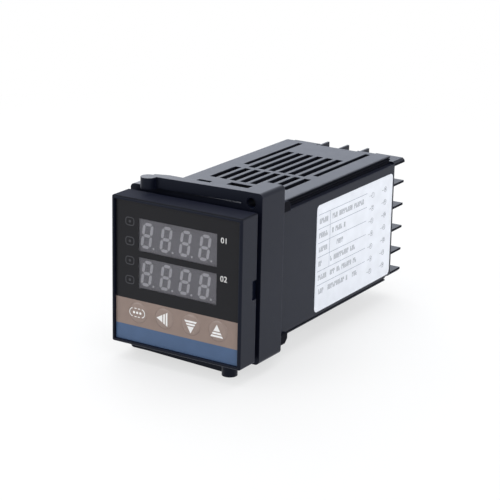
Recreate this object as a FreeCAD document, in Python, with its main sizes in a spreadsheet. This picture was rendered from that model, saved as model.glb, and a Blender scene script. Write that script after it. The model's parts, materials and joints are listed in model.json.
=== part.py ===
"""Panel-mount temperature controller with a 48 mm square front, as separate pieces.

Frame: X to the right seen from the front, Y backwards into the panel, Z up, in mm.
The origin is the middle of the panel seat, the plane of the front frame's rear rim.
"""
import FreeCAD
import Part
import math
import os
import Sketcher

SIZES = {
    # front frame
    "bezel_step": 1.5, "bezel_depth": 8.6, "bezel_wall": 1.4, "bezel_round": 0.6,
    "rim_width": 1.0, "recess_depth": 1.3, "plate_thick": 1.8,
    "skirt_wall": 1.2, "skirt_reach": 6.0, "skirt_gap": 0.2,
    "pry_height": 6.2, "pry_depth": 2.2,
    "post_radius": 1.1, "post_across": 17.4, "post_high": 13.05, "post_low": -17.5,
    "pin_radius": 0.6, "pin_gap": 0.1,
    # printed film and keys
    "film_thick": 0.4, "film_gap": 0.1,
    "key_radius": 3.45, "key_gap": 0.1, "key_proud": 0.3, "key_dome": 0.35,
    "key_flange": 3.8, "key_flange_thick": 0.6, "key_travel": 0.3,
    "key_left": -14.35, "key_pitch": 9.92, "key_height": -13.0,
    # display and lamps
    "board_thick": 1.6, "board_gap": 0.2, "display_board_front": -0.2,
    "digits_length": 30.2, "digits_height": 12.0, "digits_middle": 0.45,
    "digits_upper": 12.7, "digits_lower": 0.45, "digits_gap": 0.2, "digits_set_back": 0.1,
    "lens_depth": 0.3, "lens_length": 28.9, "lens_height": 10.3,
    "lamp_radius": 1.4, "lamp_bevel": 0.5, "lamp_rim_radius": 1.6, "lamp_rim_thick": 1.0,
    "lamp_hole_gap": 0.15,
    "lamp_space": 2.95, "lamp_top": 16.2, "lamp_pitch": 6.33,
    # key switches
    "switch_side": 6.0, "switch_depth": 3.5, "switch_round": 0.5,
    "plunger_radius": 1.6, "plunger_gap": 0.1, "plunger_hold": 1.5,
    # case
    "case_side": 45.0, "case_rear": 91.8, "case_wall": 1.8, "case_seat_gap": 0.1,
    "mouth_depth": 12.5,
    "rail_start": 14.0, "rail_width": 2.3, "rail_height": 2.7,
    "rib_proud": 0.4, "rib_thick": 0.45, "rib_pitch": 0.9, "rib_first": 0.4, "rib_count": 3,
    "slot_count": 8, "slot_pitch": 3.83, "slot_width": 2.4,
    "front_row_start": 32.6, "front_row_length": 15.6,
    "rear_row_start": 50.2, "rear_row_length": 26.0,
    "end_slot_start": 52.8, "end_slot_length": 36.2, "end_slot_width": 1.9,
    "middle_window_length": 9.2, "middle_window_width": 3.1, "middle_window_end": 30.2,
    "side_window_length": 5.0, "side_window_width": 2.6, "side_window_end": 27.5,
    "side_window_across": 12.7,
    "guide_start": 14.0, "guide_end": 73.0, "guide_thick": 0.8, "guide_height": 2.9,
    "rear_notch_width": 16.0, "rear_notch_depth": 1.2,
    # side label
    "label_start": 38.7, "label_length": 51.8, "label_height": 36.2, "label_drop": 1.05,
    "label_thick": 0.15, "label_round": 1.6,
    # mounting frame
    "panel_room": 2.05, "frame_length": 13.05, "frame_gap": 0.3, "frame_overhang": 0.3,
    "frame_top_wall": 2.6, "block_width": 7.5, "block_rise": 4.0,
    "arm_height": 3.6, "arm_thick": 2.2, "arm_lap": 0.8, "arm_lean": 2.3,
    "waist_across": -11.0, "waist_depth": 1.55,
    "nub_across": -15.5, "nub_radius": 2.5, "nub_front": -3.3,
    "screw_hole_inset": 4.0, "screw_hole_drop": 3.3, "screw_hole_radius": 1.65,
    "claw_lap": 0.7, "claw_reach": 6.1, "claw_clear": 0.3, "claw_bite": 0.6, "claw_chamfer": 1.4,
    "frame_round": 1.4,
    # terminal block
    "plug_depth": 4.0, "plug_gap": 0.15, "fin_length": 7.6, "fin_pitch": 8.16, "fin_thick": 0.75,
    "side_reach": 22.4, "side_inner": 12.0, "outer_fin_top": 20.6, "outer_fin_thick": 1.5,
    "outer_fin_bevel": 0.8, "centre_reach": 21.9, "centre_floor": 11.0, "centre_pitch": 8.0,
    "side_screw_across": 17.2, "centre_screw_high": 16.3,
    # terminals
    "strip_thick": 0.7, "strip_width": 5.4, "strip_gap": 0.15,
    "plate_reach": 3.4, "leg_back": 3.8, "bend_at": 84.0, "bend_length": 3.0,
    "finger_end": 78.0, "finger_clear": 0.25,
    "link_at": 75.0, "link_leg_across": 7.2,
    "shank_radius": 1.5, "shank_length": 4.6, "shank_gap": 0.1,
    "head_radius": 2.7, "head_height": 2.0, "head_bevel": 0.5,
    "drive_width": 0.8, "drive_depth": 1.0,
    "washer_side": 5.4, "washer_thick": 0.8, "washer_gap": 0.15,
    # long boards
    "long_board_outer": 18.2, "long_board_half": 19.0, "long_board_end": 84.0,
    # parts on the long boards
    "core_start": 24.0, "core_length": 24.0, "core_height": 20.0, "core_depth": 9.0,
    "core_leg": 4.0, "core_stand": 3.0,
    "bobbin_wall": 0.8, "coil_proud": 2.6, "coil_gap": 0.3,
    "large_can_radius": 6.3, "large_can_length": 16.0, "large_can_start": 60.0,
    "small_can_radius": 4.0, "small_can_length": 11.5, "small_can_start": 56.0,
    "can_high": 9.0, "can_low": -9.5, "groove_depth": 0.4,
    "groove_width": 0.8, "groove_high": 1.6,
    "relay_length": 18.5, "relay_height": 15.2, "relay_depth": 14.6, "relay_start": 52.0,
    "relay_apart": 1.6, "relay_round": 0.8,
    "chip_length": 26.0, "chip_width": 7.4, "chip_thick": 3.3, "chip_stand": 0.4,
    "chip_start": 17.0, "chip_notch": 1.2, "notch_depth": 0.8,
    "lead_count": 10, "lead_pitch": 2.54, "lead_width": 0.5, "lead_thick": 0.3,
    "header_height": 25.4, "header_side": 2.5, "header_pins": 10, "header_pin_side": 0.64,
    "header_pin_length": 6.0,
}


class Rule:
    """A size that follows the sheet: its number now, and the words that keep it bound."""

    def __init__(self, number, words):
        self.number = float(number)
        self.words = words

    def join(self, other, sign, number):
        return Rule(number, f"({self.words} {sign} {other.words})")

    def __add__(self, other):
        other = as_rule(other)
        return self.join(other, "+", self.number + other.number)

    def __sub__(self, other):
        other = as_rule(other)
        return self.join(other, "-", self.number - other.number)

    def __mul__(self, other):
        other = as_rule(other)
        return self.join(other, "*", self.number * other.number)

    def __truediv__(self, other):
        other = as_rule(other)
        return self.join(other, "/", self.number / other.number)

    def __radd__(self, other):
        return as_rule(other) + self

    def __rsub__(self, other):
        return as_rule(other) - self

    def __rmul__(self, other):
        return as_rule(other) * self

    def __neg__(self):
        return Rule(-self.number, f"(0 - {self.words})")


def as_rule(value):
    """Give a plain number the form of a rule."""
    return value if isinstance(value, Rule) else Rule(value, f"({float(value)})")


class Sheet:
    """The driving sizes, kept in a spreadsheet and read back as rules."""

    def __init__(self, doc):
        self.page = doc.addObject("Spreadsheet::Sheet", "Sizes")
        for row, (word, number) in enumerate(SIZES.items(), start=1):
            self.page.set(f"A{row}", word)
            self.page.set(f"B{row}", str(number))
            self.page.setAlias(f"B{row}", word)
        doc.recompute()

    def __getattr__(self, word):
        return Rule(self.page.get(word), f"Sizes.{word}")


DOC = FreeCAD.newDocument("TemperatureController")
S = Sheet(DOC)
FRONT, TOP, SIDE = "XZ_Plane", "XY_Plane", "YZ_Plane"
FORWARD, BACKWARD = -1, 1
NODES = []


def bind(item, **rules):
    """Bind properties of one object to rules; two underscores stand for a point."""
    for name, value in rules.items():
        item.setExpression(name.replace("__", "."), as_rule(value).words)


def keep(item, label):
    """Name a finished piece and put it on the list of files."""
    item.Label = label
    NODES.append(item)
    return item


def place(item, x=0, y=0, z=0):
    """Set a piece at a point that follows the sheet."""
    bind(item, Placement__Base__x=x, Placement__Base__y=y, Placement__Base__z=z)


def new_body(name):
    return DOC.addObject("PartDesign::Body", name)


def finish(body, label):
    """Recompute a body and keep it as a piece."""
    DOC.recompute()
    return keep(body, label)


def sketch_on(body, plane, offset=0):
    """A sketch on one of the body's own origin planes, moved along the plane's axis."""
    number = len(body.Group) + 1
    sketch = body.newObject("Sketcher::SketchObject", f"{body.Name}_Sketch{number}")
    base = next(item for item in body.Origin.OriginFeatures if item.Role == plane)
    sketch.AttachmentSupport = [(base, "")]
    sketch.MapMode = "FlatFace"
    offset = as_rule(offset)
    bind(sketch, AttachmentOffset__Base__z=-offset if plane == FRONT else offset)
    return sketch


def hold(sketch, marks):
    """Fix points of a sketch: marks are (line, end, x, y), and None leaves a way free."""
    first = sketch.ConstraintCount
    fixed = []
    words = []
    for line, end, x, y in marks:
        for kind, value in (("DistanceX", x), ("DistanceY", y)):
            if value is None:
                continue
            value = as_rule(value)
            fixed.append(Sketcher.Constraint(kind, -1, 1, line, end, value.number))
            words.append(value.words)
    sketch.addConstraint(fixed)
    for number, text in enumerate(words, start=first):
        sketch.setExpression(f"Constraints[{number}]", text)


def outline(sketch, points):
    """A closed outline of straight lines through the points."""
    first = sketch.GeometryCount
    spots = [FreeCAD.Vector(as_rule(x).number, as_rule(y).number, 0) for x, y in points]
    count = len(spots)
    lines = [Part.LineSegment(spots[k], spots[(k + 1) % count]) for k in range(count)]
    sketch.addGeometry(lines, False)
    sketch.addConstraint([Sketcher.Constraint("Coincident", first + k, 2, first + (k + 1) % count, 1)
                          for k in range(count)])
    hold(sketch, [(first + k, 1, x, y) for k, (x, y) in enumerate(points)])


def span(one, other):
    """Two rules, the lower first."""
    return (one, other) if one.number < other.number else (other, one)


def corner_blocks(sketch, inner_x, outer_x, inner_z, outer_z):
    """The same rectangle at all four corners, mirrored both ways."""
    for across in (-1, 1):
        for up in (-1, 1):
            rectangle(sketch, *span(across * inner_x, across * outer_x),
                      *span(up * inner_z, up * outer_z))


def rectangle(sketch, left, right, low, high):
    outline(sketch, [(left, low), (right, low), (right, high), (left, high)])


def square(sketch, half):
    rectangle(sketch, -half, half, -half, half)


def circle(sketch, x, y, radius):
    """A circle whose middle and radius follow the sheet."""
    x, y, radius = as_rule(x), as_rule(y), as_rule(radius)
    number = sketch.addGeometry(Part.Circle(FreeCAD.Vector(x.number, y.number, 0),
                                            FreeCAD.Vector(0, 0, 1), radius.number), False)
    hold(sketch, [(number, 3, x, y)])
    mark = sketch.addConstraint(Sketcher.Constraint("Radius", number, radius.number))
    sketch.setExpression(f"Constraints[{mark}]", radius.words)


def turned(body, radius, crown, dome, steps):
    """A round piece with a domed front at the crown, and stepped sides behind it."""
    sketch = sketch_on(body, TOP)
    rim = crown + dome
    middle = crown.number + (radius.number ** 2 + dome.number ** 2) / (2 * dome.number)
    circle_of = Part.Circle(FreeCAD.Vector(0, middle, 0), FreeCAD.Vector(0, 0, 1),
                            middle - crown.number)
    end_turn = math.atan2(rim.number - middle, radius.number)
    sketch.addGeometry(Part.ArcOfCircle(circle_of, -math.pi / 2, end_turn), False)
    points = [(radius, rim)] + steps + [(as_rule(0), crown)]
    spots = [FreeCAD.Vector(x.number, y.number, 0) for x, y in points]
    sketch.addGeometry([Part.LineSegment(a, b) for a, b in zip(spots, spots[1:])], False)
    last = len(steps) + 1
    sketch.addConstraint([Sketcher.Constraint("Coincident", k, 2, (k + 1) % (last + 1), 1)
                          for k in range(last + 1)])
    hold(sketch, [(0, 3, 0, None), (0, 1, 0, crown), (0, 2, radius, rim)])
    hold(sketch, [(k, 2, x, y) for k, (x, y) in enumerate(steps, start=1)])
    feature = body.newObject("PartDesign::Revolution", f"{sketch.Name}_Revolution")
    feature.Profile = sketch
    feature.ReferenceAxis = (sketch, ["V_Axis"])
    feature.Angle = 360
    return feature


def is_reversed(sketch, way, adds):
    """Whether a pad or pocket is turned round to run the asked way along its axis."""
    own_way = -1 if "XZ_Plane" in sketch.AttachmentSupport[0][0].Name else 1
    return (own_way if adds else -own_way) != way


def pad(body, sketch, length, way):
    feature = body.newObject("PartDesign::Pad", f"{sketch.Name}_Pad")
    feature.Profile = sketch
    feature.Reversed = is_reversed(sketch, way, True)
    bind(feature, Length=length)
    sketch.Visibility = False
    return feature


def pocket(body, sketch, depth, way):
    """Cut a pocket of the given depth and test that it takes material away."""
    DOC.recompute()
    before = body.Shape.Volume
    feature = body.newObject("PartDesign::Pocket", f"{sketch.Name}_Pocket")
    feature.Profile = sketch
    feature.Reversed = is_reversed(sketch, way, False)
    bind(feature, Length=depth)
    DOC.recompute()
    if body.Shape.Volume >= before:
        raise RuntimeError(f"{feature.Name} takes nothing away")
    return feature


def edges_where(shape, test):
    """Names of the edges that pass a test of their bounding box."""
    return [f"Edge{k}" for k, edge in enumerate(shape.Edges, start=1) if test(edge.BoundBox)]


def dress(body, kind, names, **rules):
    """Round or bevel the named edges of the body's last shape."""
    feature = body.newObject(f"PartDesign::{kind}", f"{body.Name}_{kind}{len(body.Group)}")
    feature.Base = (body.Group[-2], names)
    bind(feature, **rules)
    DOC.recompute()
    return feature


def near(value, rule):
    """Whether a coordinate lies on a size."""
    return abs(value - as_rule(rule).number) < 0.01


def box(name, low, high):
    """A plain block between two corners."""
    block = DOC.addObject("Part::Box", name)
    size = [b - a for a, b in zip(low, high)]
    bind(block, Length=size[0], Width=size[1], Height=size[2])
    place(block, *low)
    return block


def rod(name, radius, length, base, axis):
    """A cylinder from a base point along X, Y or Z."""
    bar = DOC.addObject("Part::Cylinder", name)
    bind(bar, Radius=radius, Height=length)
    turns = {"X": (FreeCAD.Vector(0, 1, 0), 90), "Y": (FreeCAD.Vector(1, 0, 0), -90),
             "Z": (FreeCAD.Vector(0, 0, 1), 0)}
    bar.Placement = FreeCAD.Placement(FreeCAD.Vector(), FreeCAD.Rotation(*turns[axis]))
    place(bar, *base)
    return bar


def fuse(name, pieces):
    whole = DOC.addObject("Part::MultiFuse", name)
    whole.Shapes = pieces
    return whole


def cut(name, base, tool):
    rest = DOC.addObject("Part::Cut", name)
    rest.Base = base
    rest.Tool = tool
    return rest


# Shared places, worked out once from the sizes.
FACE_FRONT = -S.bezel_depth
PLATE_FRONT = S.recess_depth - S.bezel_depth
PLATE_BACK = PLATE_FRONT + S.plate_thick
CASE_FRONT = PLATE_BACK + S.case_seat_gap
CASE_HALF = S.case_side / 2
BEZEL_HALF = CASE_HALF + S.bezel_step
CAVITY_HALF = CASE_HALF - S.case_wall
RAIL_X = CASE_HALF - S.rail_width
RAIL_Z = CASE_HALF - S.rail_height
SKIRT_HALF = CAVITY_HALF - S.skirt_gap
SKIRT_INNER = SKIRT_HALF - S.skirt_wall
DISPLAY_BACK = S.display_board_front + S.board_thick
LONG_BOARD_INNER = S.long_board_outer - S.board_thick
KEY_BACK = PLATE_BACK + S.key_gap + S.key_flange_thick
SWITCH_FRONT = S.display_board_front - S.switch_depth
PLUNGER_END = SWITCH_FRONT + S.plunger_hold
BLOCK_FACE = S.case_rear
STRIP_FACE = BLOCK_FACE + S.strip_thick
WASHER_FACE = STRIP_FACE + S.washer_thick
KEY_SPOTS = [S.key_left + S.key_pitch * k for k in range(4)]
LAMP_ACROSS = S.digits_middle - S.digits_length / 2 - S.lamp_space
LAMP_SPOTS = [S.lamp_top - S.lamp_pitch * k for k in range(4)]
POST_SPOTS = [(side * S.post_across, height) for side in (-1, 1)
              for height in (S.post_high, S.post_low)]
SIDE_ROWS = [S.fin_pitch * k for k in (2, 1, 0, -1, -2)]


def notched(sketch, half, corner_x, corner_z):
    """A square outline with a step taken out of each corner."""
    outline(sketch, [(half, -corner_z), (half, corner_z), (corner_x, corner_z), (corner_x, half),
                     (-corner_x, half), (-corner_x, corner_z), (-half, corner_z),
                     (-half, -corner_z), (-corner_x, -corner_z), (-corner_x, -half),
                     (corner_x, -half), (corner_x, -corner_z)])


def front_bezel():
    """Moulded front frame: face plate, seat rim, skirt into the case and board posts."""
    body = new_body("FrontBezel")
    blank = sketch_on(body, FRONT, FACE_FRONT)
    square(blank, BEZEL_HALF)
    pad(body, blank, S.bezel_depth, BACKWARD)
    DOC.recompute()
    outer = edges_where(body.Shape, lambda edge: near(edge.YMin, FACE_FRONT))
    dress(body, "Fillet", outer, Radius=S.bezel_round)
    hollow = sketch_on(body, FRONT, 0)
    square(hollow, BEZEL_HALF - S.bezel_wall)
    pocket(body, hollow, -PLATE_BACK, FORWARD)
    recess = sketch_on(body, FRONT, FACE_FRONT)
    square(recess, BEZEL_HALF - S.rim_width)
    pocket(body, recess, S.recess_depth, BACKWARD)
    for draw in (digits_openings, key_openings, lamp_openings):
        openings = sketch_on(body, FRONT, PLATE_FRONT)
        draw(openings)
        pocket(body, openings, S.plate_thick, BACKWARD)
    skirt = sketch_on(body, FRONT, PLATE_BACK)
    square(skirt, SKIRT_HALF)
    square(skirt, SKIRT_INNER)
    pad(body, skirt, S.skirt_reach - PLATE_BACK, BACKWARD)
    posts = sketch_on(body, FRONT, PLATE_BACK)
    for x, z in POST_SPOTS:
        circle(posts, x, z, S.post_radius)
    pad(body, posts, S.display_board_front - PLATE_BACK, BACKWARD)
    pins = sketch_on(body, FRONT, S.display_board_front)
    for x, z in POST_SPOTS:
        circle(pins, x, z, S.pin_radius)
    pad(body, pins, S.board_thick, BACKWARD)
    for side, way in ((-1, BACKWARD), (1, FORWARD)):
        pry = sketch_on(body, SIDE, side * BEZEL_HALF)
        rectangle(pry, -S.pry_depth, 0, -S.pry_height / 2, S.pry_height / 2)
        pocket(body, pry, S.bezel_wall, way)
    return finish(body, "front_bezel")


def digits_openings(sketch):
    """One opening in the face plate that both digit modules stand in."""
    half = S.digits_length / 2 + S.digits_gap
    rectangle(sketch, S.digits_middle - half, S.digits_middle + half,
              S.digits_lower - S.digits_height / 2 - S.digits_gap,
              S.digits_upper + S.digits_height / 2 + S.digits_gap)


def key_openings(sketch):
    """A round opening for each key cap."""
    for x in KEY_SPOTS:
        circle(sketch, x, S.key_height, S.key_radius + S.key_gap)


def lamp_openings(sketch):
    """A round opening for each lamp."""
    for z in LAMP_SPOTS:
        circle(sketch, LAMP_ACROSS, z, S.lamp_radius + S.lamp_hole_gap)


def front_film():
    """Printed film in the recess, with a round opening for each key."""
    body = new_body("FrontFilm")
    sheet = sketch_on(body, FRONT, PLATE_FRONT)
    square(sheet, BEZEL_HALF - S.rim_width - S.film_gap)
    key_openings(sheet)
    pad(body, sheet, S.film_thick, FORWARD)
    return finish(body, "front_film")


def key_cap(number, label):
    """Key cap with a low dome and a rear flange that keeps it behind the plate."""
    body = new_body(f"KeyCap{number}")
    crown = PLATE_FRONT - S.film_thick - S.key_proud
    ledge = PLATE_BACK + S.key_gap
    turned(body, S.key_radius, crown, S.key_dome,
           [(S.key_radius, ledge), (S.key_flange, ledge), (S.key_flange, KEY_BACK),
            (as_rule(0), KEY_BACK)])
    place(body, x=KEY_SPOTS[number], z=S.key_height)
    return finish(body, label)


def key_switch(number):
    """Square body of a push switch with a bore for its plunger."""
    body = new_body(f"KeySwitch{number}")
    blank = sketch_on(body, FRONT, SWITCH_FRONT)
    square(blank, S.switch_side / 2)
    pad(body, blank, S.switch_depth, BACKWARD)
    DOC.recompute()
    corners = edges_where(body.Shape, lambda edge: near(edge.YLength, S.switch_depth))
    dress(body, "Fillet", corners, Radius=S.switch_round)
    bore = sketch_on(body, FRONT, SWITCH_FRONT)
    circle(bore, 0, 0, S.plunger_radius + S.plunger_gap)
    pocket(body, bore, S.plunger_hold + S.key_travel + S.plunger_gap, BACKWARD)
    place(body, x=KEY_SPOTS[number], z=S.key_height)
    return finish(body, f"key_switch_{number + 1}")


def switch_plunger(number):
    """Round plunger between the key cap and the inside of its switch."""
    plunger = rod(f"SwitchPlunger{number}", S.plunger_radius, PLUNGER_END - KEY_BACK,
                  (KEY_SPOTS[number], KEY_BACK, S.key_height), "Y")
    return keep(plunger, f"switch_plunger_{number + 1}")


def display_module(label, height):
    """Block of four digits with a shallow step round its lit face."""
    body = new_body(label.title().replace("_", ""))
    front = PLATE_FRONT + S.digits_set_back
    blank = sketch_on(body, FRONT, front + S.lens_depth)
    rectangle(blank, -S.digits_length / 2, S.digits_length / 2,
              -S.digits_height / 2, S.digits_height / 2)
    pad(body, blank, S.display_board_front - front - S.lens_depth, BACKWARD)
    lens = sketch_on(body, FRONT, front)
    rectangle(lens, -S.lens_length / 2, S.lens_length / 2, -S.lens_height / 2, S.lens_height / 2)
    pad(body, lens, S.lens_depth, BACKWARD)
    place(body, x=S.digits_middle, z=height)
    return finish(body, label)


def indicator_lamp(number):
    """Round lamp with a bevelled front and a flat rim at its foot."""
    back = S.display_board_front
    front = PLATE_FRONT + S.digits_set_back
    body = new_body(f"IndicatorLamp{number}")
    rim = sketch_on(body, FRONT, back)
    circle(rim, 0, 0, S.lamp_rim_radius)
    pad(body, rim, S.lamp_rim_thick, FORWARD)
    lens = sketch_on(body, FRONT, back - S.lamp_rim_thick)
    circle(lens, 0, 0, S.lamp_radius)
    pad(body, lens, back - S.lamp_rim_thick - front, FORWARD)
    DOC.recompute()
    edge_of = edges_where(body.Shape, lambda edge: near(edge.YMin, front)
                          and near(edge.YLength, 0))
    dress(body, "Chamfer", edge_of, Size=S.lamp_bevel)
    place(body, x=LAMP_ACROSS, z=LAMP_SPOTS[number])
    return finish(body, f"indicator_lamp_{number + 1}")


def display_board():
    """Square circuit board behind the front, on the four posts."""
    body = new_body("DisplayBoard")
    blank = sketch_on(body, FRONT, S.display_board_front)
    square(blank, SKIRT_INNER - S.board_gap)
    for x, z in POST_SPOTS:
        circle(blank, x, z, S.pin_radius + S.pin_gap)
    pad(body, blank, S.board_thick, BACKWARD)
    return finish(body, "display_board")


def long_board(side, label):
    """Upright circuit board that runs back from the display board to the terminals."""
    body = new_body(label.title().replace("_", ""))
    blank = sketch_on(body, SIDE, side * LONG_BOARD_INNER)
    rectangle(blank, DISPLAY_BACK, S.long_board_end, -S.long_board_half, S.long_board_half)
    pad(body, blank, S.board_thick, side)
    return finish(body, label)


def case_shell():
    """Moulded case: square tube with railed corners, vent slots and board guides."""
    body = new_body("CaseShell")
    tube = sketch_on(body, FRONT, CASE_FRONT)
    square(tube, CASE_HALF)
    pad(body, tube, S.case_rear - CASE_FRONT, BACKWARD)
    rails = sketch_on(body, FRONT, S.rail_start)
    corner_blocks(rails, RAIL_X, CASE_HALF, RAIL_Z, CASE_HALF)
    pocket(body, rails, S.case_rear - S.rail_start, BACKWARD)
    cavity = sketch_on(body, FRONT, CASE_FRONT)
    notched(cavity, CAVITY_HALF, RAIL_X - S.case_wall, RAIL_Z - S.case_wall)
    pocket(body, cavity, S.case_rear - CASE_FRONT, BACKWARD)
    mouth = sketch_on(body, FRONT, CASE_FRONT)
    square(mouth, CAVITY_HALF)
    pocket(body, mouth, S.mouth_depth, BACKWARD)
    rail_ribs(body)
    board_guides(body)
    vents(body)
    return finish(body, "case_shell")


def rail_ribs(body):
    """Fine ribs along the upright faces of the four rails."""
    ribs = sketch_on(body, FRONT, S.rail_start)
    for k in range(int(S.rib_count.number)):
        start = RAIL_Z + S.rib_first + S.rib_pitch * k
        corner_blocks(ribs, RAIL_X - S.rib_proud, RAIL_X + S.rib_proud, start, start + S.rib_thick)
    pad(body, ribs, S.case_rear - S.rail_start, BACKWARD)


def board_guides(body):
    """Ribs inside the top and bottom walls that guide the two long boards."""
    guides = sketch_on(body, FRONT, S.guide_start)
    face = LONG_BOARD_INNER - S.board_gap
    corner_blocks(guides, face - S.guide_thick, face,
                  CAVITY_HALF - S.guide_height, CAVITY_HALF + S.case_wall / 2)
    pad(body, guides, S.guide_end - S.guide_start, BACKWARD)


def vents(body):
    """Two rows of long slots and three windows, through the top and bottom walls."""
    slots = sketch_on(body, TOP, -CASE_HALF)
    count = int(S.slot_count.number)
    for k in range(count):
        middle = S.slot_pitch * (k - (count - 1) / 2)
        half = S.slot_width / 2
        rectangle(slots, middle - half, middle + half, S.front_row_start,
                  S.front_row_start + S.front_row_length)
        if k in (0, count - 1):
            thin = S.end_slot_width / 2
            rectangle(slots, middle - thin, middle + thin, S.end_slot_start,
                      S.end_slot_start + S.end_slot_length)
        else:
            rectangle(slots, middle - half, middle + half, S.rear_row_start,
                      S.rear_row_start + S.rear_row_length)
    half = S.middle_window_length / 2
    rectangle(slots, -half, half, S.middle_window_end - S.middle_window_width, S.middle_window_end)
    for side in (-1, 1):
        middle = side * S.side_window_across
        half = S.side_window_length / 2
        rectangle(slots, middle - half, middle + half,
                  S.side_window_end - S.side_window_width, S.side_window_end)
    half = S.rear_notch_width / 2
    rectangle(slots, -half, half, S.case_rear - S.rear_notch_depth, S.case_rear + S.rear_notch_depth)
    pocket(body, slots, S.case_side, BACKWARD)


def side_label():
    """Thin label with rounded corners on the right side of the case."""
    body = new_body("SideLabel")
    sheet = sketch_on(body, SIDE, CASE_HALF)
    half = S.label_height / 2
    rectangle(sheet, S.label_start, S.label_start + S.label_length,
              -S.label_drop - half, -S.label_drop + half)
    pad(body, sheet, S.label_thick, BACKWARD)
    DOC.recompute()
    corners = edges_where(body.Shape, lambda edge: near(edge.XLength, S.label_thick))
    dress(body, "Fillet", corners, Radius=S.label_round)
    return finish(body, "side_label")


def mounting_frame():
    """Sliding frame: collar round the case, sprung arms with nubs, and claws in the rails."""
    body = new_body("MountingFrame")
    inner = CASE_HALF + S.frame_gap
    half_width = BEZEL_HALF + S.frame_overhang
    half_height = inner + S.frame_top_wall
    reach = half_height + S.block_rise
    front = S.panel_room
    collar = sketch_on(body, FRONT, front)
    rectangle(collar, -half_width, half_width, -half_height, half_height)
    square(collar, inner)
    pad(body, collar, S.frame_length, BACKWARD)
    claws(body, inner)
    block = sketch_on(body, FRONT, front)
    block_inner = half_width - S.block_width
    rectangle(block, block_inner, half_width, inner, reach)
    block_pad = pad(body, block, S.frame_length, BACKWARD)
    arm = sketch_on(body, TOP, reach - S.arm_height)
    root = block_inner + S.arm_lap
    back = front + S.arm_thick
    outline(arm, [(root, front), (root, back), (S.waist_across, back),
                  (S.nub_across, back - S.waist_depth), (S.nub_across, front - S.arm_lean)])
    arm_pad = pad(body, arm, S.arm_height, BACKWARD)
    nub = sketch_on(body, TOP, reach - S.arm_height)
    circle(nub, S.nub_across, S.nub_front + S.nub_radius, S.nub_radius)
    nub_pad = pad(body, nub, S.arm_height, BACKWARD)
    hole = sketch_on(body, FRONT, front)
    circle(hole, half_width - S.screw_hole_inset, reach - S.screw_hole_drop, S.screw_hole_radius)
    hole_cut = pocket(body, hole, S.frame_length, BACKWARD)
    pattern = body.newObject("PartDesign::PolarPattern", "TurnedArm")
    pattern.Originals = [block_pad, arm_pad, nub_pad, hole_cut]
    pattern.Axis = (collar, ["N_Axis"])
    pattern.Angle = 360
    pattern.Occurrences = 2
    body.Tip = pattern
    DOC.recompute()
    corners = edges_where(body.Shape, lambda edge: near(edge.YLength, S.frame_length)
                          and near(max(edge.XMax, -edge.XMin), half_width))
    dress(body, "Fillet", corners, Radius=S.frame_round)
    return finish(body, "mounting_frame")


def claws(body, inner):
    """Tongue at each corner that reaches back into the rail of the case."""
    start = S.panel_room + S.frame_length - S.claw_lap
    end = start + S.claw_reach
    top = inner + S.claw_bite
    tongues = sketch_on(body, FRONT, start)
    corner_blocks(tongues, RAIL_X + S.rib_proud + S.claw_clear, top, RAIL_Z + S.claw_clear, top)
    pad(body, tongues, S.claw_reach, BACKWARD)
    DOC.recompute()
    tips = edges_where(body.Shape, lambda edge: near(edge.YMin, end)
                       and near(edge.ZLength, 0) and near(max(edge.ZMax, -edge.ZMin), top))
    dress(body, "Chamfer", tips, Size=S.claw_chamfer)


def terminal_block():
    """Rear moulding: plug in the case and thin fins that part the terminals."""
    body = new_body("TerminalBlock")
    plug = sketch_on(body, FRONT, BLOCK_FACE - S.plug_depth)
    notched(plug, CAVITY_HALF - S.plug_gap, RAIL_X - S.case_wall - S.plug_gap,
            RAIL_Z - S.case_wall - S.plug_gap)
    pad(body, plug, S.plug_depth, BACKWARD)
    comb = sketch_on(body, FRONT, BLOCK_FACE)
    centre_half = S.centre_pitch + S.fin_thick / 2
    side, top, bevel = S.side_reach, S.outer_fin_top, S.outer_fin_bevel
    quarter = [(side, top - bevel), (side - bevel, top), (centre_half, top),
               (centre_half, S.centre_reach)]
    outline(comb, quarter + [(-x, z) for x, z in reversed(quarter)]
            + [(-x, -z) for x, z in quarter] + [(x, -z) for x, z in reversed(quarter)])
    pad(body, comb, S.fin_length, BACKWARD)
    bays = sketch_on(body, FRONT, BLOCK_FACE)
    fin = S.fin_thick / 2
    for side in (-1, 1):
        for row in (-2, -1, 0, 1, 2):
            low = S.fin_pitch * (row - 0.5) + fin
            high = S.fin_pitch * (row + 0.5) - fin
            if row == -2:
                low = -S.outer_fin_top + S.outer_fin_thick
            if row == 2:
                high = S.outer_fin_top - S.outer_fin_thick
            rectangle(bays, *span(side * S.side_inner, side * (S.side_reach + S.fin_thick)),
                      low, high)
    pocket(body, bays, S.fin_length, BACKWARD)
    centre_bays(body, fin, centre_half)
    screw_holes(body)
    strip_slots(body)
    return finish(body, "terminal_block")


def centre_bays(body, fin, centre_half):
    """Bays above and below the middle, and the hollow between them."""
    bays = sketch_on(body, FRONT, BLOCK_FACE)
    wall = S.side_inner - S.fin_thick
    top = S.centre_reach + S.fin_thick
    corner_blocks(bays, fin, S.centre_pitch - fin, S.centre_floor, top)
    corner_blocks(bays, centre_half, wall, S.centre_floor, top)
    floor = S.centre_floor - S.fin_thick
    rectangle(bays, -wall, wall, -floor, floor)
    pocket(body, bays, S.fin_length, BACKWARD)


def terminal_spots():
    """Screw places as (x, z, kind) for the two side columns and the middle pairs."""
    spots = [(side * S.side_screw_across, row, "side") for side in (-1, 1) for row in SIDE_ROWS]
    spots += [(side * S.centre_pitch / 2, up * S.centre_screw_high, "middle")
              for side in (-1, 1) for up in (1, -1)]
    return spots


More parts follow.
